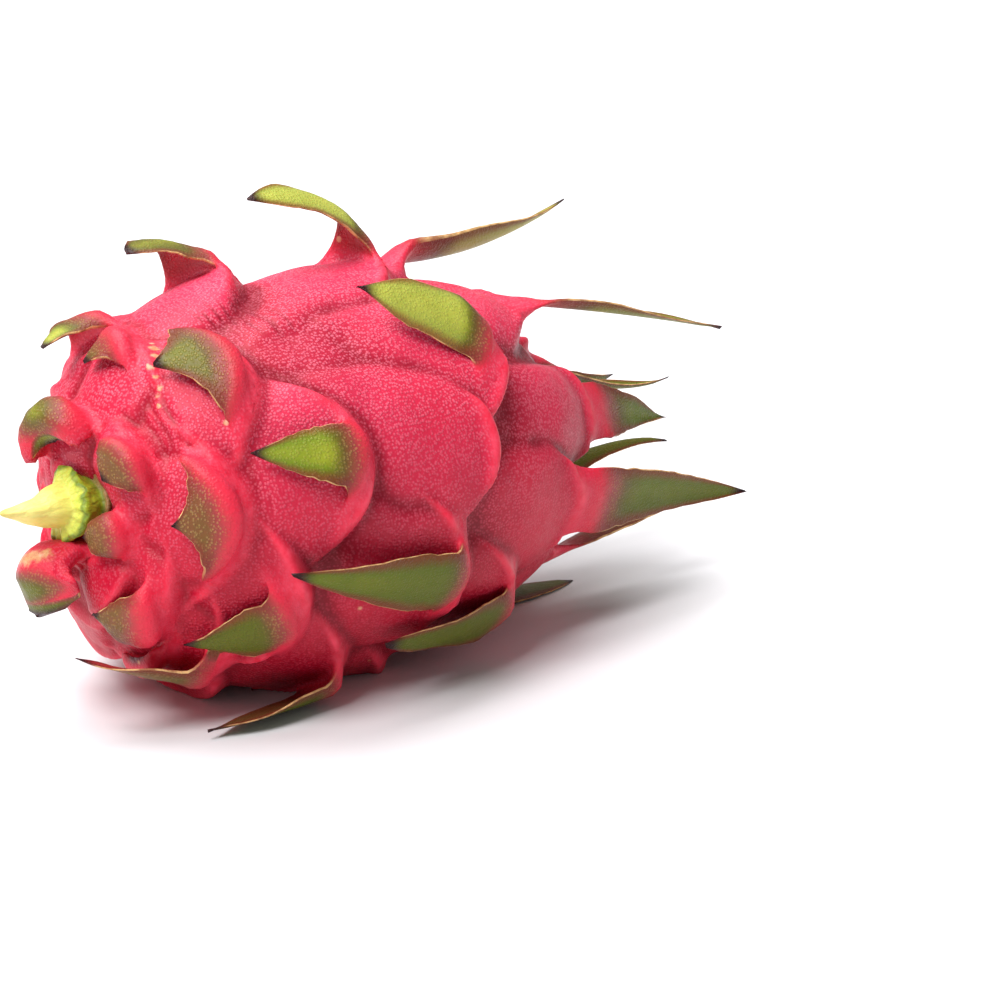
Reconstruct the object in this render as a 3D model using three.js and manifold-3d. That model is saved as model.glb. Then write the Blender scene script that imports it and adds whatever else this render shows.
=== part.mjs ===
// A whole red dragon fruit lying on its side: the fruit with its leafy scales, the torn stub of its stem,
// and the withered base of its flower. Millimetres, +Z up. The fruit's axis runs along X, stem end at -X.
import * as THREE from "three";
import { mergeVertices } from "three/addons/utils/BufferGeometryUtils.js";
import Module from "manifold-3d";

const wasm = await Module();
wasm.setup();

// The smooth skin: three stations along the axis, its radius, and how square its two ends are
const STEM_X = -66;
const WIDEST_X = -4;
const FLOWER_X = 70;
const SKIN_RADIUS = 44.5;
const STEM_SQUARENESS = 2.5;
const FLOWER_SQUARENESS = 2.15;
const AXIS_HEIGHT = 45.5;
const AXIS_TILT = 1.5;
const STEM_PIT = { radius: 10, depth: 5 };
const NAVEL = { floorRadius: 10, rimRadius: 15.5, depth: 8 };

// The scales sit on a golden spiral that starts round the stem
const SCALE_COUNT = 52;
const GOLDEN_ANGLE = 137.5;
const SPIRAL_START = 30;
const SPIRAL_LATITUDE = { first: 12, step: 1.75, growth: 0.02 };
const BARE_PLACES = [26, 34];
// Scales that stand off their place in the spiral: [number, degrees towards the flower, degrees of turn]
const STRAYS = new Map([
  [3, [2, 8]], [5, [7, -14]], [6, [1, 14]], [8, [3, 2]], [11, [0, 11]], [13, [7, -16]], [16, [2, 6]],
  [18, [0, -8]], [19, [-2, 22]], [21, [-1, 0]], [24, [-5, 22]], [27, [3, 2]], [29, [-6, 13]], [31, [-7, 4]],
  [32, [9, -1]], [37, [-5, -5]], [39, [-3, 1]], [42, [-7, -1]], [44, [-4, 2]], [47, [-3, 0]],
]);
// Scales with a flap of their own: its length, its lean aside in degrees, and the angles it turns through,
// from 0 for towards the flower, past 90 for straight out, to 180 for towards the stem
const SHAPED = new Map([
  [16, { flap: 16, lean: 20 }],
  [18, { flap: 16, foldRadius: 5, foldAngle: 165, tipAngle: 190 }],
  [19, { flap: 31, lean: -6, foldAngle: 168, tipAngle: 184 }],
  [21, { flap: 19, lean: 20 }],
  [24, { flap: 28, lean: -24 }],
  [27, { flap: 34, lean: 0, foldRadius: 4, foldAngle: 168, tipAngle: 178 }],
  [29, { flap: 28, lean: 14 }],
  [31, { flap: 18, lean: 0, startAngle: 95, foldRadius: 8, foldAngle: 155, tipAngle: 192 }],
  [32, { flap: 46, lean: 12, foldAngle: 178, tipAngle: 196 }],
  [39, { flap: 30, lean: 0, startAngle: 95, foldRadius: 12, foldAngle: 155, tipAngle: 196 }],
  [42, { flap: 36, lean: 26, neck: 9, foldAngle: 176, tipAngle: 190 }],
  [44, { flap: 60, lean: 0, foldAngle: 34, tipAngle: 28 }],
  [47, { flap: 62, lean: 14, foldAngle: 24, tipAngle: 20, neck: 5.5 }],
  [50, { flap: 42, lean: 6, foldAngle: 24, tipAngle: 30 }],
]);
const FORWARD_LATITUDE = 117;
const CREST_CURVE = 0.036;
const ROOT_DEPTH = 3;
const FLOOR_BLEND = 5;

// How finely the faceted solids are cut
const SKIN_ROWS = 32;
const SKIN_COLUMNS = 36;
const BLADE_ROWS = 6;
const BLADE_COLUMNS = 3;

const FIT_GAP = 0.3;

const radians = THREE.MathUtils.degToRad;
const clamp = THREE.MathUtils.clamp;
const mix = THREE.MathUtils.lerp;
const smooth = (x, low, high) => THREE.MathUtils.smoothstep(x, low, high);

// A fixed number from -1 to 1 for scale n, the same on every run
function jitter(n, salt) {
  const wave = Math.sin(n * 12.9898 + salt * 78.233) * 43758.5453;
  return (wave - Math.floor(wave)) * 2 - 1;
}

// Distance along the axis and radius of the smooth skin at a latitude, 0 at the stem and pi at the flower
function profile(latitude) {
  const c = Math.cos(latitude);
  const s = Math.sin(latitude);
  const square = c > 0 ? STEM_SQUARENESS : FLOWER_SQUARENESS;
  const reach = c > 0 ? WIDEST_X - STEM_X : FLOWER_X - WIDEST_X;
  const size = (Math.abs(c) ** square + Math.abs(s) ** square) ** (1 / square);
  const radius = (SKIN_RADIUS * s) / size;
  let x = WIDEST_X - (reach * c) / size;
  if (c > 0) x += STEM_PIT.depth * Math.exp(-((radius / STEM_PIT.radius) ** 2));
  else x -= NAVEL.depth * (1 - smooth(radius, NAVEL.floorRadius, NAVEL.rimRadius));
  return [x, radius];
}

// The fruit's own directions: along its axis to the flower, up, and to the side
const ALONG = new THREE.Vector3(Math.cos(radians(AXIS_TILT)), 0, -Math.sin(radians(AXIS_TILT)));
const UP = new THREE.Vector3(Math.sin(radians(AXIS_TILT)), 0, Math.cos(radians(AXIS_TILT)));
const SIDE = new THREE.Vector3(0, -1, 0);
const CENTRE = new THREE.Vector3(0, 0, AXIS_HEIGHT);

// Point, outward normal and direction to the flower on the smooth skin. Turn 0 is up and 90 degrees faces -Y.
function skin(latitude, turn) {
  const step = 1e-4;
  const [x, radius] = profile(latitude);
  const [x0, r0] = profile(latitude - step);
  const [x1, r1] = profile(latitude + step);
  const length = Math.hypot(x1 - x0, r1 - r0);
  const [run, rise] = [(x1 - x0) / length, (r1 - r0) / length];
  const outward = SIDE.clone().multiplyScalar(Math.sin(turn)).addScaledVector(UP, Math.cos(turn));
  return {
    point: CENTRE.clone().addScaledVector(ALONG, x).addScaledVector(outward, radius),
    normal: ALONG.clone().multiplyScalar(-rise).addScaledVector(outward, run),
    forward: ALONG.clone().multiplyScalar(run).addScaledVector(outward, rise),
    across: SIDE.clone().multiplyScalar(Math.cos(turn)).addScaledVector(UP, -Math.sin(turn)),
    radius,
    speed: length / (2 * step),
  };
}

// Everything that sets one scale apart: its place, its pillow of skin and its flap
function makeScale(n) {
  const [nudge, twist] = STRAYS.get(n) ?? [2 * jitter(n, 1), 4 * jitter(n, 2)];
  const spiral = SPIRAL_LATITUDE;
  const degrees = spiral.first + spiral.step * n + spiral.growth * n * n + nudge;
  const latitude = radians(degrees);
  const turn = radians(SPIRAL_START + GOLDEN_ANGLE * n + twist);
  const home = skin(latitude, turn);
  const forwards = degrees > FORWARD_LATITUDE;
  const grown = smooth(degrees, 24, 62);
  const shape = {
    flap: Math.min(5 + 52 * Math.max(0, (degrees - 15) / 120) ** 1.3, 56) * (1 + 0.12 * jitter(n, 6)),
    lean: 12 * jitter(n, 4),
    neck: mix(4.6, 7.2, grown) * (1 + 0.12 * jitter(n, 5)),
    foldRadius: forwards ? 5 : 2.4 + 0.8 * jitter(n, 3),
    startAngle: forwards ? 70 : 84,
    foldAngle: forwards ? 24 + 10 * jitter(n, 7) : 183 + 4 * jitter(n, 7),
    tipAngle: forwards ? 24 + 18 * jitter(n, 8) : 202 + 6 * jitter(n, 8),
    ...SHAPED.get(n),
  };
  return {
    n, latitude, turn, home, forwards, ...shape,
    pillowWidth: 3 + 0.45 * home.radius,
    pillowLength: mix(13, 36, grown),
    height: mix(7.5, 5.2, grown),
    base: forwards ? shape.neck * 1.3 : mix(8, 15.5, grown),
    cup: forwards ? 0.25 : 0.08,
  };
}

const SCALES = Array.from({ length: SCALE_COUNT }, (_, i) => i + 1)
  .filter((n) => !BARE_PLACES.includes(n)).map(makeScale);

// Height of the skin's pillows over the smooth skin: each rises towards its scale and drops behind it
function relief(place) {
  const sharpness = 5;
  let sum = 0;
  for (const scale of SCALES) {
    const facing = place.normal.dot(scale.home.normal);
    if (facing < 0.25) continue;
    const gap = place.point.clone().sub(scale.home.point);
    const v = gap.dot(scale.home.across) / scale.pillowWidth;
    if (Math.abs(v) >= 1) continue;
    const a = gap.dot(scale.home.forward) + CREST_CURVE * (v * scale.pillowWidth) ** 2;
    const drop = 7;
    if (a <= -scale.pillowLength || a >= drop) continue;
    const rise = 1 + a / scale.pillowLength;
    const ramp = a < 0 ? 0.6 * (1 - (1 - rise) ** 3) + 0.4 * rise ** 2 : Math.cos((Math.PI / 2) * (a / drop)) ** 2;
    const dome = (1 - Math.abs(v) ** 2.6) ** 0.8;
    sum += (scale.height * ramp * dome) ** sharpness;
  }
  return sum ** (1 / sharpness);
}

// A closed mesh as a solid, turned face out
function solidFrom(points, triangles) {
  const geometry = new THREE.BufferGeometry();
  geometry.setAttribute("position", new THREE.Float32BufferAttribute(points.flatMap((p) => [p.x, p.y, p.z]), 3));
  geometry.setIndex(triangles.flat());
  const merged = mergeVertices(geometry, 1e-3);
  const vertProperties = merged.attributes.position.array;
  let triVerts = new Uint32Array(merged.index.array);
  const solid = new wasm.Manifold(new wasm.Mesh({ numProp: 3, vertProperties, triVerts }));
  if (solid.volume() > 0) return solid;
  triVerts = triVerts.slice().reverse();
  return new wasm.Manifold(new wasm.Mesh({ numProp: 3, vertProperties, triVerts }));
}

// Joins rings of equally many points into a closed tube with its two ends fanned shut
function solidFromRings(rings) {
  const size = rings[0].length;
  const points = rings.flat();
  const triangles = [];
  for (let i = 0; i + 1 < rings.length; i++) {
    for (let j = 0; j < size; j++) {
      const k = (j + 1) % size;
      const [a, b, c, d] = [i * size + j, i * size + k, (i + 1) * size + k, (i + 1) * size + j];
      triangles.push([a, b, c], [a, c, d]);
    }
  }
  for (const [ring, flip] of [[0, true], [rings.length - 1, false]]) {
    const middle = rings[ring].reduce((sum, p) => sum.add(p), new THREE.Vector3()).divideScalar(size);
    points.push(middle);
    for (let j = 0; j < size; j++) {
      const edge = [ring * size + j, ring * size + ((j + 1) % size)];
      if (flip) edge.reverse();
      triangles.push([...edge, points.length - 1]);
    }
  }
  return solidFrom(points, triangles);
}

// The body of the fruit: the smooth skin raised by the pillows, pressed flat where it meets the surface
function fruitBody() {
  const rings = [];
  for (let i = 0; i <= SKIN_ROWS; i++) {
    const latitude = mix(0.02, Math.PI - 0.02, i / SKIN_ROWS);
    const ring = [];
    for (let j = 0; j < SKIN_COLUMNS; j++) {
      const place = skin(latitude, (2 * Math.PI * j) / SKIN_COLUMNS);
      const point = place.point.clone().addScaledVector(place.normal, relief(place));
      point.z = Math.max(point.z, 0);
      ring.push(point);
    }
    rings.push(ring);
  }
  return solidFromRings(rings);
}

// The line down the middle of a flap, as distances towards the flower and out from the skin
function flapLine(scale, steps) {
  const foldLength = scale.foldRadius * radians(Math.abs(scale.foldAngle - scale.startAngle));
  const neckLength = ROOT_DEPTH + 0.5 + foldLength;
  const length = neckLength + scale.flap;
  const angleAt = (l) => {
    const bend = clamp((l - ROOT_DEPTH) / foldLength, 0, 1);
    const rest = clamp((l - neckLength) / scale.flap, 0, 1);
    return radians(mix(scale.startAngle, scale.foldAngle, bend) + (scale.tipAngle - scale.foldAngle) * rest);
  };
  const line = [];
  const parts = 12;
  let [a, h, l] = [0, -ROOT_DEPTH, 0];
  for (let i = 0; i <= steps; i++) {
    const target = length * (i / steps) ** 1.5;
    const step = (target - l) / parts;
    for (let k = 0; k < parts; k++) {
      const angle = angleAt(l + step / 2);
      a += step * Math.cos(angle);
      h += step * Math.sin(angle);
      l += step;
    }
    const past = clamp((l - neckLength) / scale.flap, 0, 1);
    const before = clamp(1 - l / (ROOT_DEPTH + 5), 0, 1);
    const outline = (1 + 0.35 * past) * (1 - past ** 1.5);
    const width = scale.neck * outline + (scale.base - scale.neck) * before ** 1.3;
    line.push({ a, h, past, before, width: Math.max(width, 0.35) });
  }
  return line;
}

// Bends a point that would sink through the surface so that it lies on it
function aboveFloor(z, least) {
  const start = least + FLOOR_BLEND;
  return z > start ? z : least + FLOOR_BLEND * Math.exp((z - start) / FLOOR_BLEND);
}

// One flap: a thin blade that grows out of its pillow's crest, folds over and runs out to a point
function flapSolid(scale) {
  const line = flapLine(scale, BLADE_ROWS);
  const thickness = (row) => mix(mix(1.3, 2.6, (1 - row.past) ** 2), 3.6, row.before);
  const middle = line.map((row) => {
    const across = [];
    for (let j = 0; j <= BLADE_COLUMNS; j++) {
      const w = -1 + (2 * j) / BLADE_COLUMNS;
      const v = w * row.width;
      const back = -CREST_CURVE * v * v;
      const lean = radians(scale.lean);
      const forward = back * Math.cos(lean) - v * Math.sin(lean);
      const side = back * Math.sin(lean) + v * Math.cos(lean);
      const latitude = scale.latitude + forward / scale.home.speed;
      const [, radius] = profile(latitude);
      const place = skin(latitude, scale.turn + side / Math.max(radius, 6));
      const run = place.forward.clone().multiplyScalar(Math.cos(lean)).addScaledVector(place.across, Math.sin(lean));
      const rise = row.h + relief(place) + scale.cup * (w * w) * row.width * (1 - row.before);
      const point = place.point.clone().addScaledVector(run, row.a).addScaledVector(place.normal, rise);
      point.z = aboveFloor(point.z, thickness(row) / 2);
      across.push(point);
    }
    return across;
  });
  const rings = middle.map((across, i) => {
    const upper = [];
    const lower = [];
    across.forEach((point, j) => {
      const next = middle[Math.min(i + 1, BLADE_ROWS)][j].clone().sub(middle[Math.max(i - 1, 0)][j]);
      const side = across[Math.min(j + 1, BLADE_COLUMNS)].clone().sub(across[Math.max(j - 1, 0)]);
      const normal = next.cross(side).normalize();
      const w = -1 + (2 * j) / BLADE_COLUMNS;
      const half = Math.max(thickness(line[i]) * (1 - 0.5 * w * w), 0.8) / 2;
      upper.push(point.clone().addScaledVector(normal, half));
      lower.unshift(point.clone().addScaledVector(normal, -half));
    });
    return [...upper, ...lower];
  });
  return solidFromRings(rings);
}

// The torn stub of the stem: a ragged collar that narrows into one long sliver. grow widens it for its socket.
const STUB = [
  { along: -5, radius: 5.5, flat: 1 },
  { along: 0, radius: 6.4, flat: 1 },
  { along: 4.5, radius: 8.6, flat: 0.95 },
  { along: 7.5, radius: 6.6, flat: 0.9 },
  { along: 10, radius: 4.4, flat: 0.8 },
  { along: 19, radius: 3.6, flat: 0.75 },
  { along: 25, radius: 2.2, flat: 0.7 },
  { along: 29, radius: 0.5, flat: 0.8 },
];
const STUB_SIDES = 14;
const STUB_TILT = 8;

function stubSolid(grow) {
  const tilt = radians(STUB_TILT);
  const direction = ALONG.clone().multiplyScalar(-Math.cos(tilt)).addScaledVector(UP, Math.sin(tilt));
  const up = ALONG.clone().multiplyScalar(Math.sin(tilt)).addScaledVector(UP, Math.cos(tilt));
  const foot = CENTRE.clone().addScaledVector(ALONG, profile(0.02)[0]);
  const rings = STUB.map(({ along, radius, flat }, i) => {
    const ragged = i === 2 || i === 3 ? 0.16 : 0.05;
    const reach = i === 0 ? along - grow : along;
    return Array.from({ length: STUB_SIDES }, (_, j) => {
      const angle = (2 * Math.PI * j) / STUB_SIDES;
      const r = radius * (1 + ragged * jitter(j + 1, i > 1 ? 20 : 19)) + grow;
      return foot.clone().addScaledVector(direction, reach)
        .addScaledVector(SIDE, r * Math.cos(angle)).addScaledVector(up, r * flat * Math.sin(angle));
    });
  });
  return solidFromRings(rings);
}

// The withered base of the flower: a short tube with a torn rim, set in the navel
const REMNANT = { radius: 9.4, wall: 2.6, root: 4, height: 6.5, tear: 3, sides: 26 };

function remnantSolid(grow) {
  const floor = profile(Math.PI - 0.02)[0];
  const ring = (x, radius, tear) => Array.from({ length: REMNANT.sides }, (_, j) => {
    const angle = (2 * Math.PI * j) / REMNANT.sides;
    const r = radius * (1 + 0.05 * jitter(j + 1, 31));
    const end = x + tear * jitter(j + 1, 32);
    return CENTRE.clone().addScaledVector(ALONG, end)
      .addScaledVector(SIDE, r * Math.sin(angle)).addScaledVector(UP, r * Math.cos(angle));
  });
  const { radius, wall, root, height, tear } = REMNANT;
  if (grow > 0) {
    return solidFromRings([
      ring(floor - root - grow, radius * 0.9 + grow, 0),
      ring(floor, radius + grow, 0),
      ring(floor + height + tear, radius * 1.12 + grow, 0),
    ]);
  }
  return solidFromRings([
    ring(floor - root, radius * 0.9, 0),
    ring(floor, radius, 0),
    ring(floor + height, radius * 1.1, tear),
    ring(floor + height, radius * 1.1 - wall * 0.5, tear),
    ring(floor + 1, radius - wall, 0),
    ring(floor - 1.5, radius * 0.45, 0),
  ]);
}

function meshOf(solid, name, look) {
  const { vertProperties, triVerts } = solid.getMesh();
  const geometry = new THREE.BufferGeometry();
  geometry.setAttribute("position", new THREE.BufferAttribute(vertProperties, 3));
  geometry.setIndex(new THREE.BufferAttribute(triVerts, 1));
  geometry.computeVertexNormals();
  const mesh = new THREE.Mesh(geometry, new THREE.MeshStandardMaterial(look));
  mesh.name = name;
  return mesh;
}

function fruitSolid() {
  let fruit = fruitBody();
  for (const scale of SCALES) fruit = fruit.add(flapSolid(scale));
  fruit = fruit.subtract(stubSolid(FIT_GAP)).subtract(remnantSolid(FIT_GAP));
  return fruit.decompose().reduce((largest, piece) => (piece.volume() > largest.volume() ? piece : largest));
}

const dragonFruit = new THREE.Group();
dragonFruit.add(
  meshOf(fruitSolid(), "fruit", { color: 0xd23a5e, roughness: 0.45, metalness: 0 }),
  meshOf(stubSolid(0), "stem_stub", { color: 0xd9d98a, roughness: 0.6, metalness: 0 }),
  meshOf(remnantSolid(0), "flower_remnant", { color: 0xcfae6a, roughness: 0.8, metalness: 0 }),
);

// The origin goes under the middle of the whole fruit
const box = new THREE.Box3().setFromObject(dragonFruit);
const middle = box.getCenter(new THREE.Vector3());
for (const mesh of dragonFruit.children) mesh.geometry.translate(-middle.x, -middle.y, -box.min.z);

export default dragonFruit;
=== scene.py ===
import math

import bpy
import numpy as np
from mathutils import Matrix, Vector, kdtree, noise


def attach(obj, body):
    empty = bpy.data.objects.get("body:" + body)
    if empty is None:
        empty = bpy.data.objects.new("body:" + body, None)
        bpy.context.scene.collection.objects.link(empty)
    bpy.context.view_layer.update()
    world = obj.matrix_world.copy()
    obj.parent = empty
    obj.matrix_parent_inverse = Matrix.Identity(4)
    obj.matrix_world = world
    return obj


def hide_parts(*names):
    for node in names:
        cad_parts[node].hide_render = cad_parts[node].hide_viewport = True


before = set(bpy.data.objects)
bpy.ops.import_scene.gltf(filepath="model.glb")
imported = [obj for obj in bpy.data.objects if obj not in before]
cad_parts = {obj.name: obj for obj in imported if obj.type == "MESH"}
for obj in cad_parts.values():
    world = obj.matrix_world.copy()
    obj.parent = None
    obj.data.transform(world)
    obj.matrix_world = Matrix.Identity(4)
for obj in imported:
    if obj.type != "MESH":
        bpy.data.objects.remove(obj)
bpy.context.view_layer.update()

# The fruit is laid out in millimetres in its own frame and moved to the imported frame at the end.
# FRUIT_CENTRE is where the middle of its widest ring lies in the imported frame.
FRUIT_CENTRE = np.array([-19.40, -3.16, 45.5])
METRE = 0.001

# The smooth skin: three stations along the axis, its radius, and how square its two ends are
STEM_X = -66
WIDEST_X = -4
FLOWER_X = 70
SKIN_RADIUS = 44.5
STEM_SQUARENESS = 2.5
FLOWER_SQUARENESS = 2.15
AXIS_TILT = 1.5
STEM_PIT_RADIUS = 10
STEM_PIT_DEPTH = 4
NAVEL_FLOOR = 10
NAVEL_RIM = 15.5
NAVEL_DEPTH = 8

# The scales sit on a golden spiral that starts round the stem
SCALE_COUNT = 52
GOLDEN_ANGLE = 137.5
SPIRAL_START = 30
SPIRAL_LATITUDE = (12, 1.75, 0.02)
BARE_PLACES = (26, 34)
# Scales that stand off their place in the spiral: degrees towards the flower and degrees of turn
STRAYS = {
    1: (-2, 22), 3: (4, 7), 5: (6, -14), 6: (1, 6), 8: (3, -3), 11: (1, 25), 13: (7, -16), 16: (2, 10),
    18: (0, -8), 19: (-2, 22), 21: (-1, -3), 24: (-5, 24), 27: (3, 2), 29: (-6, 13), 31: (-6, 4),
    32: (9, -1), 37: (0, -5), 39: (-3, 1), 42: (-7, -1), 44: (-9, 20), 47: (-3, 0),
}
# Scales that differ from the rule. Lengths are the height of the pillow, the flap, the radius of its fold,
# and the half widths of its base and neck. Angles are the flap's lean aside, how much further aside it
# points (skew), its twist, and the angles it turns through, from 0 for towards the flower, past 90 for
# straight out, to 180 for towards the stem. Fullness and taper shape its outline, and fleshy is how thick
# it is. Ripening is how far out from the skin it turns green, and ripest is how green it gets. Patch is the
# middle of a green patch on a scale that is red elsewhere, and papery that of a dry tan one. A flap of 0
# leaves the pillow alone.
SHAPED = {
    1: dict(height=9, base=12, neck=9, flap=9, fold_radius=6, lean=165, patch=13, papery=7.5, fleshy=3.6,
            fullness=0.5, taper=3),
    2: dict(height=1.5, flap=0, base=5),
    3: dict(height=4, flap=6, base=6, neck=4.5, fleshy=1.2, ripening=9),
    4: dict(height=6, flap=0),
    5: dict(height=6, base=12, neck=9, flap=5, fold_radius=3.8, tip_angle=262, patch=6, fleshy=4.4, lean=-8),
    6: dict(height=9, flap=0),
    7: dict(height=0.8, flap=0, base=5),
    8: dict(height=7, base=11, flap=6, fold_radius=3, ripening=9, fleshy=1.3),
    9: dict(height=4, flap=0),
    10: dict(height=1.5, flap=0),
    11: dict(height=7, base=12, neck=6, flap=12, lean=-20, skew=-8),
    12: dict(height=1.5, flap=0),
    13: dict(flap=8.5, lean=20, skew=10, neck=4.4),
    14: dict(height=4, flap=3, ripening=30),
    15: dict(height=2, flap=0),
    16: dict(flap=12.5, lean=-4, neck=12, base=16, fullness=-0.3, taper=1.05),
    17: dict(flap=0),
    18: dict(ripest=0.95, neck=4.2, flap=14, fold_radius=4.4, fold_angle=165, tip_angle=180, twist=30),
    19: dict(flap=31, lean=-6, fold_angle=168, tip_angle=184, twist=22, neck=5.5),
    20: dict(height=4, flap=9),
    21: dict(flap=16, lean=2, skew=24, neck=11.5, twist=10, base=17, fullness=0, taper=1.05),
    22: dict(flap=0),
    23: dict(flap=8),
    24: dict(flap=25, lean=-24),
    27: dict(flap=34, lean=0, fold_radius=4, fold_angle=168, tip_angle=178),
    29: dict(flap=26, lean=12, neck=6),
    31: dict(ripest=0.82, height=7.5, flap=17, lean=0, start_angle=95, fold_radius=8, fold_angle=155,
             tip_angle=192, twist=38),
    32: dict(flap=52, lean=12, neck=6.6, fold_angle=178, tip_angle=196),
    37: dict(flap=0, base=9),
    39: dict(flap=30, lean=0, start_angle=95, fold_radius=12, fold_angle=155, tip_angle=196, twist=45,
             neck=5),
    41: dict(fold_angle=14, tip_angle=34),
    42: dict(flap=38.5, lean=24, neck=8, fold_angle=178, tip_angle=194, twist=32),
    44: dict(flap=58, lean=0, start_angle=84, fold_radius=7, fold_angle=12, tip_angle=38, twist=-22,
             neck=4.6, fleshy=2.2),
    47: dict(flap=62, lean=14, fold_angle=24, tip_angle=20, neck=5.5, twist=-20),
    50: dict(flap=42, lean=6, fold_angle=24, tip_angle=30),
}
# The latitudes between which scales grow from small ones round the stem to full size, in degrees
GROWN_LATITUDES = (24, 62)
# Scales past this latitude point on towards the flower, where the others fold back
FORWARD_LATITUDE = 117

# A scale shapes the skin only where the skin faces its way, by this cosine
FACING = 0.25
PILLOW_SQUARENESS = 2.6
# A crest curves back towards its sides, drops off behind, and reaches so many half widths of its base aside
CREST_CURVE = 0.036
CREST_DROP = 5
CREST_REACH = 1.45
CREASE_WIDTH = 0.9

# The row of corky spots beside the stem
SCAR_LATITUDES = (47, 39)
SCAR_TURNS = (8, 32)
SCAR_SPOTS = 9
SCAR_RADIUS = 0.9

# The deep parallel folds beside the stem, and over how many degrees of turn they begin and end
FOLD_LATITUDES = (32.5, 35, 37.5, 40)
FOLD_TURNS = (20, 56)
FOLD_BEGINS = 8
FOLD_ENDS = 10
FOLD_WIDTH = 0.62

# The fine furrows of the stem end
WRINKLE_SPACING = 2.9
WRINKLE_SLANT = 0.18

# How far the details stand out from the skin or sink into it, and the height and wavelength of its bumps
CREST_HEIGHT = 2.0
CREASE_DEPTH = 1.5
WRINKLE_DEPTH = 0.6
FOLD_DEPTH = 1.4
SCAR_HEIGHT = 0.8
BROAD_BUMPS = (0.55, 11)
FINE_BUMPS = (0.22, 4.2)

# How deep a blade is rooted, how far its wide lip reaches out and sinks at its sides, and how thick it is
ROOT_DEPTH = 3
LIP_REACH = 8
LIP_SINK = 3.2
ROOT_THICKNESS = 5.2
TIP_THICKNESS = 0.8

# Over what height a blade that meets the surface bends to lie on it
FLOOR_BLEND = 4

# How many edges away from a seam is smoothed, how often, and how strongly
SEAM_REACH = 5
SEAM_ROUNDS = 24
SEAM_PULL = 0.5

# How finely the meshes are cut, and how near to the two ends of the axis the skin's rings come, in radians
SKIN_ROWS = 240
SKIN_COLUMNS = 250
POLE_GAP = 0.02
BLADE_ROWS = 26
BLADE_COLUMNS = 12


def smoothstep(x, low, high):
    t = np.clip((x - low) / (high - low), 0, 1)
    return t * t * (3 - 2 * t)


def mix(a, b, share):
    return a + (b - a) * share


def jitter(n, salt):
    """A fixed number from -1 to 1 for scale n, the same on every run."""
    wave = math.sin(n * 12.9898 + salt * 78.233) * 43758.5453
    return (wave - math.floor(wave)) * 2 - 1


def ripple(points, wavelength, seed=0):
    """Smooth noise from -1 to 1 at each point."""
    return np.array([noise.noise(Vector(p) / wavelength + Vector((seed, 0, 0))) for p in points])


# The fruit's own directions: along its axis to the flower, up, and to the side
TILT = math.radians(AXIS_TILT)
ALONG = np.array([math.cos(TILT), 0, -math.sin(TILT)])
UP = np.array([math.sin(TILT), 0, math.cos(TILT)])
SIDE = np.array([0.0, -1.0, 0.0])


def profile(latitude):
    """Distance along the axis and radius of the smooth skin at a latitude, from 0 at the stem to pi."""
    c, s = np.cos(latitude), np.sin(latitude)
    square = np.where(c > 0, STEM_SQUARENESS, FLOWER_SQUARENESS)
    reach = np.where(c > 0, WIDEST_X - STEM_X, FLOWER_X - WIDEST_X)
    size = (np.abs(c) ** square + np.abs(s) ** square) ** (1 / square)
    radius = SKIN_RADIUS * s / size
    x = WIDEST_X - reach * c / size
    pit = STEM_PIT_DEPTH * np.exp(-((radius / STEM_PIT_RADIUS) ** 2))
    navel = NAVEL_DEPTH * (1 - smoothstep(radius, NAVEL_FLOOR, NAVEL_RIM))
    return np.where(c > 0, x + pit, x - navel), radius


class Place:
    """Points on the smooth skin, with their outward normals and their directions to the flower and across.
    Turn 0 is up and 90 degrees faces -Y."""

    def __init__(self, latitude, turn):
        latitude, turn = np.broadcast_arrays(np.asarray(latitude, float), np.asarray(turn, float))
        step = 1e-4
        x, radius = profile(latitude)
        x0, r0 = profile(latitude - step)
        x1, r1 = profile(latitude + step)
        length = np.hypot(x1 - x0, r1 - r0)
        run, rise = ((x1 - x0) / length)[..., None], ((r1 - r0) / length)[..., None]
        sine, cosine = np.sin(turn)[..., None], np.cos(turn)[..., None]
        outward = SIDE * sine + UP * cosine
        self.point = ALONG * x[..., None] + outward * radius[..., None]
        self.normal = outward * run - ALONG * rise
        self.forward = ALONG * run + outward * rise
        self.across = SIDE * cosine - UP * sine
        self.radius = radius
        self.speed = length / (2 * step)


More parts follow.
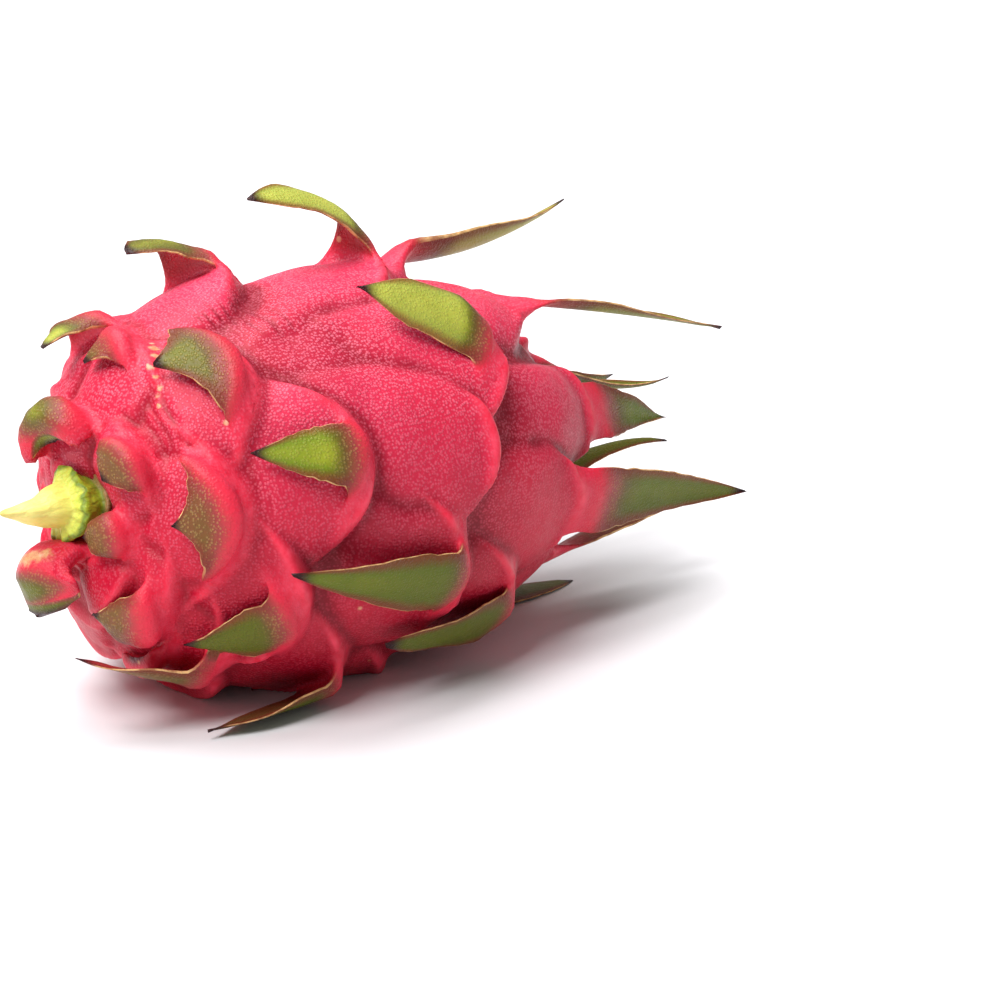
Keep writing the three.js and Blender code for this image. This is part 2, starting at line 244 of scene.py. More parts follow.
class Scale:
    """Everything that sets one scale apart: its place, its pillow of skin and its flap."""

    def __init__(self, n):
        nudge, twist = STRAYS.get(n, (2 * jitter(n, 1), 4 * jitter(n, 2)))
        first, step, growth = SPIRAL_LATITUDE
        degrees = first + step * n + growth * n * n + nudge
        self.n = n
        self.latitude = math.radians(degrees)
        self.turn = math.radians(SPIRAL_START + GOLDEN_ANGLE * n + twist)
        self.home = Place(self.latitude, self.turn)
        self.forwards = degrees > FORWARD_LATITUDE
        grown = smoothstep(degrees, *GROWN_LATITUDES)
        self.flap = min(5 + 52 * max(0, (degrees - 15) / 120) ** 1.3, 56) * (1 + 0.12 * jitter(n, 6))
        self.lean = 12 * jitter(n, 4)
        self.twist = 14 * jitter(n, 11)
        self.skew = 0
        self.neck = mix(5, 6.6, grown) * (1 + 0.12 * jitter(n, 5))
        self.fold_radius = 5 if self.forwards else mix(3.4, 2.6, grown) + 0.6 * jitter(n, 3)
        self.start_angle = 70 if self.forwards else 84
        self.fold_angle = 20 + 8 * jitter(n, 7) if self.forwards else 183 + 4 * jitter(n, 7)
        self.tip_angle = 52 + 22 * jitter(n, 8) if self.forwards else 202 + 6 * jitter(n, 8)
        self.height = mix(6.5, 6, grown)
        self.base = self.neck * 1.3 if self.forwards else mix(8.5, 15.5, grown)
        self.ripening = 26 if self.forwards else mix(16, 14, smoothstep(n, 8, 26))
        self.ripest = mix(0.66, 1, smoothstep(n, 18, 27))
        self.crest_width = mix(2.6, 4.2, grown)
        self.crest = mix(0.5, 1, grown)
        self.patch = 0
        self.papery = None
        self.fullness = 0.35
        self.taper = 1.5
        self.cup = 0.25 if self.forwards else 0.06
        self.fleshy = mix(2.2, 1, grown)
        self.pillow_width = 3 + 0.45 * float(self.home.radius)
        self.pillow_length = mix(14, 36, grown)
        for name, value in SHAPED.get(n, {}).items():
            setattr(self, name, value)


SCALES = [Scale(n) for n in range(1, SCALE_COUNT + 1) if n not in BARE_PLACES]


def pillow_heights(place):
    """Height of each scale's pillow over the smooth skin: it rises towards its scale and drops behind it."""
    for scale in SCALES:
        home = scale.home
        gap = place.point - home.point
        v = gap @ home.across / scale.pillow_width
        a = gap @ home.forward + CREST_CURVE * (v * scale.pillow_width) ** 2
        near = (place.normal @ home.normal > FACING) & (np.abs(v) < 1)
        near &= (a > -scale.pillow_length) & (a < CREST_DROP)
        rise = np.clip(1 + a / scale.pillow_length, 0, 1)
        ramp = 0.65 * (1 - (1 - rise) ** 4) + 0.35 * rise**2
        drop = np.cos(math.pi / 2 * np.clip(a / CREST_DROP, 0, 1)) ** 2
        dome = np.clip(1 - np.abs(v) ** PILLOW_SQUARENESS, 0, 1) ** 0.7
        yield np.where(near, scale.height * np.where(a < 0, ramp, drop) * dome, 0)


def relief(place):
    """Height of the skin over its smooth form, with the pillows melted together."""
    sharpness = 7
    return sum(height**sharpness for height in pillow_heights(place)) ** (1 / sharpness)


def slope(field, points):
    """How fast a field changes for each millimetre over a grid of points."""
    total = 0
    for axis in (0, 1):
        spacing = np.linalg.norm(np.gradient(points, axis=axis), axis=2)
        total = total + (np.gradient(field, axis=axis) / np.maximum(spacing, 0.05)) ** 2
    return np.sqrt(total)


def creases(place):
    """1 along the lines where two pillows meet, and 0 away from them."""
    first = np.zeros(place.radius.shape)
    second = np.zeros(place.radius.shape)
    for height in pillow_heights(place):
        second = np.maximum(second, np.minimum(first, height))
        first = np.maximum(first, height)
    distance = (first - second) / np.maximum(slope(first - second, place.point), 0.25)
    return np.exp(-((distance / CREASE_WIDTH) ** 2)) * smoothstep(second, 0.3, 1.3)


def crests(place):
    """1 along the crest of each pillow, a crescent of smooth bright skin, and 0 away from it."""
    most = np.zeros(place.radius.shape)
    for scale in SCALES:
        home = scale.home
        gap = place.point - home.point
        v = gap @ home.across
        a = gap @ home.forward + CREST_CURVE * v**2
        half = scale.crest_width * np.clip(1 - (v / (CREST_REACH * scale.base)) ** 2, 0.02, 1)
        ridge = scale.crest * (1 - smoothstep(np.abs(a - 0.8), 0.3 * half, half))
        ridge = ridge * (1 - smoothstep(np.abs(v) / scale.base, 0.6 * CREST_REACH, CREST_REACH))
        near = place.normal @ home.normal > FACING
        most = np.maximum(most, np.where(near, ridge, 0))
    return most


def soften(field, rounds=2):
    """Averages a grid that wraps round the fruit with its neighbours."""
    for _ in range(rounds):
        rows = np.concatenate([field[:1], field, field[-1:]])
        field = (rows[:-2] + 2 * rows[1:-1] + rows[2:]) / 4
        field = (np.roll(field, 1, axis=1) + 2 * field + np.roll(field, -1, axis=1)) / 4
    return field


def wrinkles(place, latitude, rise):
    """1 in the fine furrows that run round the stem end between the pillows, and 0 away from them."""
    flat = place.point.reshape(-1, 3)
    warp = ripple(flat, 16, 7).reshape(latitude.shape)
    patches = ripple(flat, 13, 90).reshape(latitude.shape)
    along = (place.point @ ALONG) + WRINKLE_SLANT * place.radius + 5 * warp
    furrow = smoothstep(np.cos(2 * math.pi * along / WRINKLE_SPACING), 0.35, 0.95)
    fading = 1 - smoothstep(latitude, math.radians(60), math.radians(95))
    valley = 1 - smoothstep(rise, 2.5, 4.5)
    return furrow * smoothstep(patches, 0.0, 0.3) * mix(0.1, 1, fading) * valley


def folds(place, latitude, turn):
    """1 in the few deep parallel folds beside the stem, and 0 away from them."""
    flat = place.point.reshape(-1, 3)
    degrees = np.degrees(latitude) + 1.3 * ripple(flat, 9, 55).reshape(latitude.shape)
    turned = np.degrees(turn)
    first, last = FOLD_TURNS
    most = np.zeros(latitude.shape)
    for i, middle in enumerate(FOLD_LATITUDES):
        shift = 5 * jitter(i, 31)
        begun = smoothstep(turned, first + shift, first + shift + FOLD_BEGINS)
        ended = smoothstep(turned, last + shift - FOLD_ENDS, last + shift)
        depth = np.exp(-(((degrees - middle) / FOLD_WIDTH) ** 2))
        most = np.maximum(most, depth * (begun * (1 - ended)))
    return most


def scars(place):
    """1 on a short row of corky spots, and 0 away from them."""
    most = np.zeros(place.radius.shape)
    for i in range(SCAR_SPOTS):
        along = (i + 0.4 * jitter(i, 23)) / (SCAR_SPOTS - 1)
        latitude = mix(*SCAR_LATITUDES, along) + 1.1 * jitter(i, 21)
        spot = Place(math.radians(latitude), math.radians(mix(*SCAR_TURNS, along)))
        distance = np.linalg.norm(place.point - spot.point, axis=2)
        radius = SCAR_RADIUS + 0.3 * jitter(i, 22)
        most = np.maximum(most, np.exp(-((distance / radius) ** 2)))
    return most


def above_floor(z, least):
    """Bends heights that would sink through the surface so that they lie on it."""
    start = least + FLOOR_BLEND
    return np.where(z > start, z, least + FLOOR_BLEND * np.exp(np.minimum(z - start, 0) / FLOOR_BLEND))


def tube_faces(rings, size):
    """Faces of rings of equally many points joined into a tube, with its two ends fanned shut."""
    faces = []
    for i in range(rings - 1):
        for j in range(size):
            k = (j + 1) % size
            faces.append((i * size + j, i * size + k, (i + 1) * size + k, (i + 1) * size + j))
    first, last = rings * size, rings * size + 1
    for j in range(size):
        k = (j + 1) % size
        faces.append((k, j, first))
        faces.append(((rings - 1) * size + j, (rings - 1) * size + k, last))
    return faces


def closed_tube(rings):
    """Points and faces of a tube through rings, an array of (ring, point, xyz)."""
    count, size, _ = rings.shape
    points = np.concatenate([rings.reshape(-1, 3), [rings[0].mean(axis=0)], [rings[-1].mean(axis=0)]])
    return points, tube_faces(count, size)


def new_object(name, points, faces, values=None):
    """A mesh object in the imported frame, with each array of values as an attribute of its points."""
    mesh = bpy.data.meshes.new(name)
    mesh.from_pydata(((points + FRUIT_CENTRE) * METRE).tolist(), [], faces)
    for key, value in (values or {}).items():
        mesh.attributes.new(key, "FLOAT", "POINT").data.foreach_set("value", np.asarray(value, np.float32))
    thing = bpy.data.objects.new(name, mesh)
    bpy.context.collection.objects.link(thing)
    return thing


def face_out(thing):
    """Turns a closed mesh face out if its volume comes out negative."""
    mesh = thing.data
    mesh.calc_loop_triangles()
    points = np.array([v.co for v in mesh.vertices])
    corners = points[np.array([t.vertices for t in mesh.loop_triangles])]
    volume = np.einsum("ij,ij->", corners[:, 0], np.cross(corners[:, 1], corners[:, 2]))
    if volume < 0:
        mesh.flip_normals()
    return thing


# The height of the surface that the fruit rests on, in the fruit's own frame
FLOOR = -FRUIT_CENTRE[2]
# What the fruit's material reads at each point: how far a flap has ripened, its dark tip, its edge and its
# underside, the smooth crests, the height of the pillows, the painted shade in the creases, furrows, folds
# and hollows, and the corky or dry spots
ATTRIBUTES = ("flap", "tip", "edge", "under", "crest", "rise", "crease", "scar")


def make_body():
    """The body of the fruit: the smooth skin raised by the pillows, flat where it meets the surface."""
    latitudes = np.linspace(POLE_GAP, math.pi - POLE_GAP, SKIN_ROWS)
    turns = np.linspace(0, 2 * math.pi, SKIN_COLUMNS, endpoint=False)
    place = Place(latitudes[:, None], turns[None, :])
    rise = relief(place)
    crest = crests(place)
    flat = place.point.reshape(-1, 3)
    bumps = BROAD_BUMPS[0] * ripple(flat, BROAD_BUMPS[1]) + FINE_BUMPS[0] * ripple(flat, FINE_BUMPS[1], 40)
    crease = soften(creases(place))
    scar = scars(place)
    latitude, turn = np.meshgrid(latitudes, turns, indexing="ij")
    wrinkle = wrinkles(place, latitude, rise) * (1 - crest)
    fold = folds(place, latitude, turn)
    lift = rise + CREST_HEIGHT * crest - CREASE_DEPTH * crease - WRINKLE_DEPTH * wrinkle
    lift = lift - FOLD_DEPTH * fold + SCAR_HEIGHT * scar
    lift = soften(lift + bumps.reshape(rise.shape), 1)
    # painted shade: hollow marks where the skin lies below its smoothed neighbours, and dark adds the
    # creases, furrows and folds; the material darkens the skin by it through the 'crease' attribute
    hollow = smoothstep(soften(lift, 30) - lift, 0.1, 1.1)
    dark = np.maximum.reduce([1.5 * crease, 0.85 * wrinkle, 1.2 * fold, 0.8 * hollow * (1 - crest)])
    points = place.point + place.normal * lift[..., None]
    points[..., 2] = np.maximum(points[..., 2], FLOOR)
    points, faces = closed_tube(points)
    ends = [0, 0]
    values = {
        "flap": np.zeros(len(points)),
        "tip": np.zeros(len(points)),
        "edge": np.zeros(len(points)),
        "under": np.zeros(len(points)),
        "crest": np.append(crest.ravel(), ends),
        "rise": np.append(rise.ravel() / 6, ends),
        "crease": np.append(np.clip(dark, 0, 1).ravel(), ends),
        "scar": np.append(scar.ravel(), ends),
    }
    return face_out(new_object("body", points, faces, values)), values


def flap_line(scale):
    """The line down the middle of a flap, as distances towards the flower and out from the skin."""
    fold_length = scale.fold_radius * math.radians(abs(scale.fold_angle - scale.start_angle))
    neck_length = ROOT_DEPTH + 0.5 + fold_length
    length = neck_length + scale.flap
    fine = np.linspace(0, length, 1200)
    bend = np.clip((fine - ROOT_DEPTH) / fold_length, 0, 1)
    rest = np.clip((fine - neck_length) / scale.flap, 0, 1)
    folded = mix(scale.start_angle, scale.fold_angle, bend)
    angle = np.radians(folded + (scale.tip_angle - scale.fold_angle) * rest)
    step = fine[1] - fine[0]
    a = np.concatenate([[0], np.cumsum(np.cos(angle[:-1]) * step)])
    h = np.concatenate([[0], np.cumsum(np.sin(angle[:-1]) * step)]) - ROOT_DEPTH
    rows = length * np.linspace(0, 1, BLADE_ROWS + 1) ** 1.35
    past = np.clip((rows - neck_length) / scale.flap, 0, 1)
    before = np.clip(1 - (rows - ROOT_DEPTH) / LIP_REACH, 0, 1)
    outline = (1 + scale.fullness * past) * (1 - past**scale.taper)
    width = scale.neck * outline + (scale.base - scale.neck) * before**1.7
    ragged = 1 + 0.04 * np.array([jitter(scale.n * 40 + i, 9) for i in range(len(rows))]) * (past > 0)
    return {
        "a": np.interp(rows, fine, a),
        "h": np.interp(rows, fine, h),
        "past": past,
        "before": before,
        "width": np.maximum(width * ragged, 0.08),
        "share": rows / length,
        "out": rows - ROOT_DEPTH,
        "left": length - rows,
    }


def make_blade(scale):
    """One flap: a thin blade that grows out of its pillow's crest, folds over and runs out to a point."""
    line = {key: value[:, None] for key, value in flap_line(scale).items()}
    w = np.sin(np.linspace(-math.pi / 2, math.pi / 2, BLADE_COLUMNS + 1))[None, :]
    v = w * line["width"]
    lean = math.radians(scale.lean)
    aim = math.radians(scale.lean + scale.skew)
    twist = math.radians(scale.twist) * smoothstep(line["out"], 1, 12)
    back = -CREST_CURVE * v * v
    ahead = back * math.cos(lean) - v * np.cos(twist) * math.sin(lean)
    aside = back * math.sin(lean) + v * np.cos(twist) * math.cos(lean)
    latitude = scale.latitude + ahead / float(scale.home.speed)
    _, radius = profile(latitude)
    place = Place(latitude, scale.turn + aside / np.maximum(radius, 6))
    run = place.forward * math.cos(aim) + place.across * math.sin(aim)
    free = 1 - line["before"]
    wave = 0.7 * free * w**3 * np.sin(line["share"] * 9 + 2.5 * scale.n) - v * np.sin(twist)
    sunk = LIP_SINK * w**4 * line["before"] ** 0.7
    rise = line["h"] + relief(place) + scale.cup * w * w * line["width"] * free + wave - sunk
    middle = place.point + run * line["a"][..., None] + place.normal * rise[..., None]
    thin = mix(TIP_THICKNESS, 2.0 * scale.fleshy, (1 - line["past"]) ** 2)
    thin = thin * np.clip((1 - line["past"]) / 0.1, 0.3, 1)
    thickness = np.broadcast_to(mix(thin, ROOT_THICKNESS, line["before"] ** 1.3), v.shape)
    middle[..., 2] = above_floor(middle[..., 2], FLOOR + thickness / 2)
    ahead_of = np.gradient(middle, axis=0)
    across_of = np.gradient(middle, axis=1)
    normal = np.cross(ahead_of, across_of)
    normal /= np.linalg.norm(normal, axis=2, keepdims=True)
    half = thickness * np.sqrt(np.clip(1 - 0.9 * w**2, 0, 1)) / 2
    upper = middle + normal * half[..., None]
    lower = middle - normal * half[..., None]
    rings = np.concatenate([upper, lower[:, ::-1]], axis=1)
    points, faces = closed_tube(rings)
    flap = np.broadcast_to(np.clip(line["out"] / scale.ripening, 0, scale.ripest), v.shape)
    dark_length = mix(3.5, 9, smoothstep(scale.flap, 6, 40))
    tip = np.broadcast_to(np.clip(1 - line["left"] / dark_length, 0, 1), v.shape)
    if scale.patch:
        patch = np.exp(-(((line["out"] - scale.patch) / 4.2) ** 2) - (w / 0.75) ** 2)
        flap = 0.9 * np.maximum(patch, smoothstep(tip, 0, 0.4))
    edge = np.broadcast_to(np.abs(w), v.shape)
    zero = np.zeros(v.shape)
    scar = zero
    if scale.papery is not None:
        scar = 0.75 * np.exp(-(((line["out"] - scale.papery) / 1.8) ** 2) - (w / 0.8) ** 4)
    faces_up = (zero + 0.3, zero) if scale.forwards else (zero, zero + 1)

    def both(top, bottom, ends):
        return np.append(np.concatenate([top, bottom[:, ::-1]], axis=1).ravel(), ends)

    values = {
        "flap": both(flap, flap, [0, 1]),
        "tip": both(tip, tip, [0, 1]),
        "edge": both(edge, edge, [0, 1]),
        "under": both(*faces_up, [0, 0]),
        "crest": both(line["before"] + zero, line["before"] + zero, [1, 0]),
        "rise": np.ones(len(points)),
        "crease": np.zeros(len(points)),
        "scar": both(scar, zero, [0, 0]),
    }
    return face_out(new_object(f"scale_{scale.n}", points, faces, values)), values


def union(body, others):
    """Joins the others to the body in one Boolean union, and removes them."""
    group = bpy.data.collections.new("union")
    for other in others:
        bpy.context.collection.objects.unlink(other)
        group.objects.link(other)
    bpy.context.scene.collection.children.link(group)
    join = body.modifiers.new("union", "BOOLEAN")
    join.operand_type = "COLLECTION"
    join.collection = group
    join.operation = "UNION"
    join.solver = "MANIFOLD"
    apply_modifiers(body)
    for other in others:
        bpy.data.objects.remove(other)
    bpy.data.collections.remove(group)


def apply_modifiers(thing):
    """Replaces a mesh by what its modifiers make of it, and removes them."""
    settled = thing.evaluated_get(bpy.context.evaluated_depsgraph_get())
    mesh = bpy.data.meshes.new_from_object(settled)
    thing.modifiers.clear()
    thing.data = mesh


def get_points(mesh):
    points = np.empty(len(mesh.vertices) * 3)
    mesh.vertices.foreach_get("co", points)
    return points.reshape(-1, 3)


def blend_seams(fruit, sources):
    """Copies each source's values onto the joined mesh and smooths the creases where two sources meet."""
    mesh = fruit.data
    points = get_points(mesh)
    tree = kdtree.KDTree(sum(len(source_points) for source_points, _ in sources))
    owner, values, count = [], {key: [] for key in ATTRIBUTES}, 0
    for index, (source_points, source_values) in enumerate(sources):
        for point in source_points:
            tree.insert(point, count)
            count += 1
        owner.append(np.full(len(source_points), index))
        for key in ATTRIBUTES:
            values[key].append(source_values[key])
    tree.balance()
    nearest = np.array([tree.find(point)[1] for point in points])
    owner = np.concatenate(owner)[nearest]
    values = {key: np.concatenate(value)[nearest] for key, value in values.items()}

    edges = np.empty(len(mesh.edges) * 2, int)
    mesh.edges.foreach_get("vertices", edges)
    edges = edges.reshape(-1, 2)
    start, end = edges[:, 0], edges[:, 1]
    degree = np.maximum(np.bincount(edges.ravel(), minlength=len(points)), 1)

    def neighbours(field):
        total = np.bincount(start, field[end], len(points)) + np.bincount(end, field[start], len(points))
        return total / degree

    seam = np.zeros(len(points))
    across = owner[start] != owner[end]
    seam[start[across]] = 1
    seam[end[across]] = 1
    near = seam.copy()
    for _ in range(SEAM_REACH):
        near = np.maximum(seam, neighbours(near))
    near = np.clip(near * 1.5, 0, 1)
    for _ in range(SEAM_ROUNDS):
        for axis in range(3):
            points[:, axis] += SEAM_PULL * near * (neighbours(points[:, axis]) - points[:, axis])
        for key in ("flap", "crest", "rise"):
            values[key] += SEAM_PULL * near * (neighbours(values[key]) - values[key])
    points[:, 2] = np.maximum(points[:, 2], 0)
    mesh.vertices.foreach_set("co", points.ravel())
    for key in ATTRIBUTES:
        layer = mesh.attributes.get(key) or mesh.attributes.new(key, "FLOAT", "POINT")
        layer.data.foreach_set("value", values[key].astype(np.float32))
    mesh.update()


def make_fruit():
    """The body joined with every blade into one mesh, with its seams smoothed."""
    body, values = make_body()
    sources = [(get_points(body.data), values)]
    blades = []
    for scale in SCALES:
        if scale.flap == 0:
            continue
        blade, values = make_blade(scale)
        blades.append(blade)
        sources.append((get_points(blade.data), values))
    union(body, blades)
    blend_seams(body, sources)
    body.name = "dragon_fruit"
    body.data.name = "dragon_fruit"
    body.data.polygons.foreach_set("use_smooth", [True] * len(body.data.polygons))
    return body


class Nodes:
    """A small helper that adds shader nodes and joins them."""

    def __init__(self, name):
        self.material = bpy.data.materials.new(name)
        self.material.use_nodes = True
        self.tree = self.material.node_tree
        self.shader = self.tree.nodes["Principled BSDF"]

    def add(self, kind, settings=None, **inputs):
        node = self.tree.nodes.new(kind)
        for key, value in (settings or {}).items():
            setattr(node, key, value)
        for key, value in inputs.items():
            self.set(node.inputs[key.replace("_", " ")], value)
        return node

    def set(self, socket, value):
        if isinstance(value, bpy.types.NodeSocket):
            self.tree.links.new(value, socket)
        else:
            socket.default_value = value

    def attribute(self, name):
        return self.add("ShaderNodeAttribute", {"attribute_name": name}).outputs["Fac"]

    def math(self, operation, a, b=0.0, c=0.0):
        node = self.add("ShaderNodeMath", {"operation": operation})
        for socket, value in zip(node.inputs, (a, b, c)):
            self.set(socket, value)
        return node.outputs[0]

    def range(self, value, low, high, first=0.0, last=1.0):
        node = self.add("ShaderNodeMapRange", {"interpolation_type": "SMOOTHSTEP"})
        for socket, number in zip(node.inputs, (value, low, high, first, last)):
            self.set(socket, number)
        return node.outputs[0]

    def mix(self, share, a, b, blend="MIX"):
        node = self.add("ShaderNodeMix", {"data_type": "RGBA", "blend_type": blend})
        self.set(node.inputs["Factor"], share)
        self.set(node.inputs[6], a)
        self.set(node.inputs[7], b)
        return node.outputs[2]

    def ramp(self, value, stops):
        node = self.add("ShaderNodeValToRGB")
        self.set(node.inputs[0], value)
        elements = node.color_ramp.elements
        while len(elements) < len(stops):
            elements.new(0.5)
        for element, (position, colour) in zip(elements, stops):
            element.position = position
            element.color = colour
        return node.outputs[0]

    def place(self):
        return self.add("ShaderNodeTexCoord").outputs["Object"]

    def noise(self, scale, detail=3.0, roughness=0.5):
        node = self.add("ShaderNodeTexNoise", Vector=self.place(), Scale=scale, Detail=detail,
                        Roughness=roughness)
        return node.outputs["Fac"]

    def cells(self, scale, randomness=1.0):
        return self.add("ShaderNodeTexVoronoi", Vector=self.place(), Scale=scale, Randomness=randomness)

    def bump(self, height, distance, strength=1.0, normal=None):
        node = self.add("ShaderNodeBump", Height=height, Distance=distance, Strength=strength)
        if normal is not None:
            self.set(node.inputs["Normal"], normal)
        return node.outputs[0]


def colour(red, green, blue):
    """A colour given as it looks on screen, from 0 to 255."""
    def linear(value):
        value /= 255
        return value / 12.92 if value <= 0.04045 else ((value + 0.055) / 1.055) ** 2.4

    return (linear(red), linear(green), linear(blue), 1.0)


def fruit_material():
    """Pinkish red stippled skin that turns smooth on the crests, and flaps that shade from red to green."""
    m = Nodes("dragon_fruit_skin")
    flap, tip, edge, under = (m.attribute(name) for name in ("flap", "tip", "edge", "under"))
    crest, rise, crease = (m.attribute(name) for name in ("crest", "rise", "crease"))
    broad = m.noise(28, 3)
    fine = m.noise(420, 4, 0.6)

    along, _, height = m.add("ShaderNodeSeparateXYZ", Vector=m.place()).outputs
    # painted light and shade: the skin and its pale dots are lighter towards the top and darker towards the
    # bottom
    painted_top_light = m.range(height, 0.02, 0.095)
    ground = m.mix(painted_top_light, colour(158, 6, 34), colour(220, 52, 86))
    ground = m.mix(m.range(broad, 0.4, 0.7, 0.0, 0.6), ground, colour(206, 34, 62))
    # painted shade: the skin is darkened where the pillows are low, in the dips between them
    valley = m.math("SUBTRACT", 1.0, m.range(rise, 0.1, 0.6))
    ground = m.mix(m.math("MULTIPLY", valley, 0.6), ground, colour(150, 8, 34))
    # painted shade: the skin is darkened in the creases, furrows, folds and hollows
    ground = m.mix(m.math("MULTIPLY", crease, 0.9), ground, colour(112, 2, 22))
    # painted shade: the skin is darker towards the stem end
    ground = m.mix(m.range(along, -0.05, -0.085, 0.0, 0.5), ground, colour(190, 14, 46))
    smooth_skin = m.mix(m.range(fine, 0.3, 0.7), colour(230, 40, 66), colour(242, 72, 96))
    skin = m.mix(m.math("MULTIPLY", crest, 0.9), ground, smooth_skin)

    dots = m.cells(1400, randomness=0.75)
    dot = m.range(dots.outputs["Distance"], 0.62, 0.2)
    patchy = m.range(m.noise(90, 2), 0.3, 0.65, 0.6, 1.0)
    covered = m.math("MAXIMUM", crest, m.math("MULTIPLY", crease, 0.7))
    plain = m.math("SUBTRACT", 1.0, m.math("MULTIPLY", covered, 0.9))
    stipple = m.math("MULTIPLY", m.math("MULTIPLY", dot, patchy), plain)
    pale = m.mix(painted_top_light, colour(206, 62, 84), colour(244, 126, 150))
    skin = m.mix(m.math("MULTIPLY", stipple, 0.6), skin, pale)

    shift = m.math("MULTIPLY", m.math("SUBTRACT", broad, 0.5), 0.35)
    shift = m.math("ADD", shift, m.math("MULTIPLY", m.math("SUBTRACT", fine, 0.5), 0.14))
    uneven = m.math("ADD", flap, shift)
    leaf = m.ramp(uneven, [
        (0.0, colour(230, 40, 66)), (0.28, colour(212, 44, 66)), (0.5, colour(146, 58, 56)),
        (0.72, colour(100, 80, 34)), (1.0, colour(92, 116, 12)),
    ])
    # the pale yellow-green middle of each flap, made stronger higher up by painted light
    inner = m.math("MULTIPLY", m.range(edge, 0.75, 0.1), m.range(uneven, 0.7, 1.0))
    midrib_and_painted_light = m.math("MULTIPLY", m.range(m.noise(55, 3), 0.35, 0.7, 0.25, 1.0), inner)
    midrib_and_painted_light = m.math("MULTIPLY", midrib_and_painted_light, m.range(height, 0.02, 0.09, 0.25, 0.8))
    leaf = m.mix(midrib_and_painted_light, leaf, colour(172, 174, 46))
    pinprick = m.range(dots.outputs["Distance"], 0.46, 0.2)
    dotted = m.math("MULTIPLY", m.range(flap, 0.3, 0.5), m.range(flap, 1.0, 0.6, 0.14, 0.3))
    leaf = m.mix(m.math("MULTIPLY", pinprick, dotted), leaf, colour(182, 156, 88))
    # painted light: flaps higher up are mixed towards a light yellow-green
    painted_sunlight = m.math("MULTIPLY", m.range(height, 0.055, 0.1), m.range(uneven, 0.8, 1.05, 0.0, 0.7))
    leaf = m.mix(painted_sunlight, leaf, colour(200, 202, 92))
    # painted shade: flaps lower down are mixed towards a dark olive
    painted_shade_low = m.math("MULTIPLY", m.range(height, 0.065, 0.02, 0.0, 0.75), m.range(uneven, 0.6, 0.9))
    leaf = m.mix(painted_shade_low, leaf, colour(80, 82, 6))
    back = m.ramp(uneven, [
        (0.0, colour(206, 34, 58)), (0.5, colour(184, 40, 54)), (0.8, colour(132, 52, 44)),
        (1.0, colour(96, 66, 32)),
    ])
    leaf = m.mix(under, leaf, back)
    margin = m.math("MULTIPLY", m.range(m.math("ADD", edge, shift), 0.55, 0.98), m.range(flap, 0.2, 0.6))
    leaf = m.mix(m.math("MULTIPLY", margin, 0.75), leaf, colour(118, 40, 34))
    leaf = m.mix(m.range(m.math("ADD", tip, shift), 0.25, 0.85), leaf, colour(46, 20, 22))
    skin = m.mix(m.range(flap, 0.1, 0.3), skin, leaf)
    rim = m.math("MULTIPLY", m.range(edge, 0.98, 0.995), m.range(flap, 0.3, 0.6))
    rim = m.math("MULTIPLY", rim, m.range(tip, 0.6, 0.3))
    rim = m.math("MULTIPLY", rim, m.range(m.noise(300, 2), 0.35, 0.6, 0.25, 0.8))
    skin = m.mix(rim, skin, colour(232, 190, 130))

    specks = m.cells(75)
    speck = m.range(specks.outputs["Distance"], 0.075, 0.04)
    rare = m.range(m.add("ShaderNodeSeparateColor", Color=specks.outputs["Color"]).outputs[0], 0.8, 0.82)
    speck = m.math("MULTIPLY", m.math("MULTIPLY", speck, rare), m.range(crest, 0.6, 0.2))
    scar = m.math("ADD", m.attribute("scar"), m.math("MULTIPLY", m.math("SUBTRACT", fine, 0.5), 1.1))
    corky = m.math("MAXIMUM", m.math("MULTIPLY", speck, 0.8), m.range(scar, 0.35, 0.8, 0.0, 0.8))
    dry = m.mix(m.range(m.noise(330, 3), 0.4, 0.6), colour(236, 186, 150), colour(206, 164, 112))
    skin = m.mix(corky, skin, dry)

    m.set(m.shader.inputs["Base Color"], skin)
    m.set(m.shader.inputs["Roughness"], m.range(fine, 0.2, 0.8, 0.34, 0.5))
    m.set(m.shader.inputs["Specular IOR Level"], 0.22)
    m.set(m.shader.inputs["Subsurface Weight"], 0.08)
    m.set(m.shader.inputs["Subsurface Radius"], (1.0, 0.2, 0.15))
    m.set(m.shader.inputs["Subsurface Scale"], 0.003)
    pores = m.bump(m.math("MULTIPLY", dot, plain), 0.00015, 0.7)
    grain = m.bump(fine, 0.0003, 0.35, pores)
    lumps = m.math("MULTIPLY", m.noise(160, 3), m.range(flap, 0.3, 0.7, 1.0, 0.12))
    m.set(m.shader.inputs["Normal"], m.bump(lumps, 0.0008, 0.35, grain))
    return m.material


# The torn stub of the stem, along its own axis out from the pit: a papery ring, a collar of torn green skin
# round a pale core, and a sliver of the core that runs on
STUB_TILT = 7
STUB_SHIFT = (-2, 2.5)
STUB_ROOT = -6
COLLAR_REACH = 8
COLLAR_RADIUS = 8.2
PAPER_RADIUS = 9.4
CORE_RADIUS = 5
SLIVER_REACH = 25


